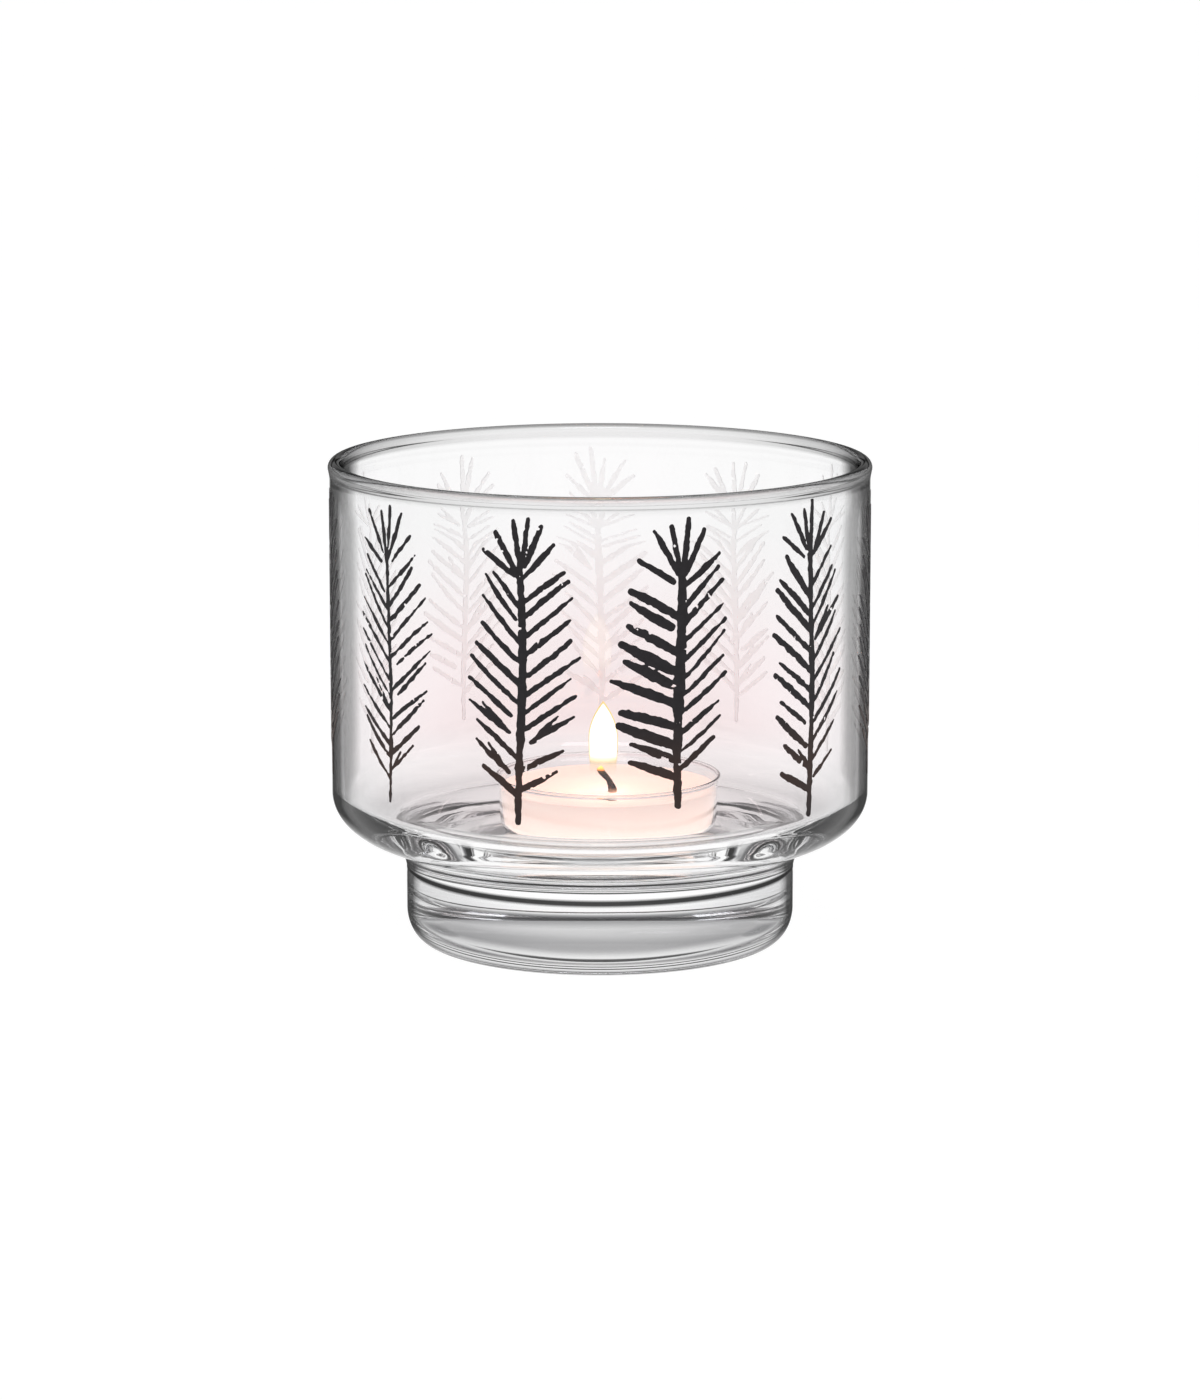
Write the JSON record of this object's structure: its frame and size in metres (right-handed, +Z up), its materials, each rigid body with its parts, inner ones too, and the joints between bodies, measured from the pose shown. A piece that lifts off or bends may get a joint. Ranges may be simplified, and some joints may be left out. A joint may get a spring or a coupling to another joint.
{
  "type": "tealight holder",
  "caption": "Clear pressed-glass tealight holder: straight bowl on a narrower solid foot, conifer twigs printed round the wall, lift-out tealight inside.",
  "frame": {"origin": "centre of the foot's standing plane, on the bowl's axis", "axes": "+Z up along the bowl's axis; -Y is the side seen in the picture, midway between two twigs; +X to the right"},
  "size_m": [0.0926, 0.0926, 0.0831],
  "materials": {
    "glass": "fire-polished clear soda-lime glass",
    "print": "black screen-printed enamel",
    "clear_plastic": "clear polished",
    "wax": "smooth paraffin wax, molten round the wick",
    "tinned_steel": "stamped tin plate",
    "wick_cotton": "braided cotton, charred"
  },
  "bodies": {
    "holder": {"glass_holder": "glass", "twig_print_01": "print", "twig_print_02": "print", "twig_print_03": "print", "twig_print_04": "print", "twig_print_05": "print", "twig_print_06": "print", "twig_print_07": "print", "twig_print_08": "print", "twig_print_09": "print", "twig_print_10": "print", "twig_print_11": "print"},
    "tealight": {"tealight_cup": "clear_plastic"},
    "candle": {"wax": "wax", "wick_tab": "tinned_steel", "wick": "wick_cotton"}
  },
  "joints": [
    {"name": "tealight_lift", "type": "slide", "parent": "holder", "child": "tealight", "axis": [0, 0, 1], "range_m": [0, 0.08]},
    {"name": "candle_lift", "type": "slide", "parent": "tealight", "child": "candle", "axis": [0, 0, 1], "range_m": [0, 0.02]}
  ]
}
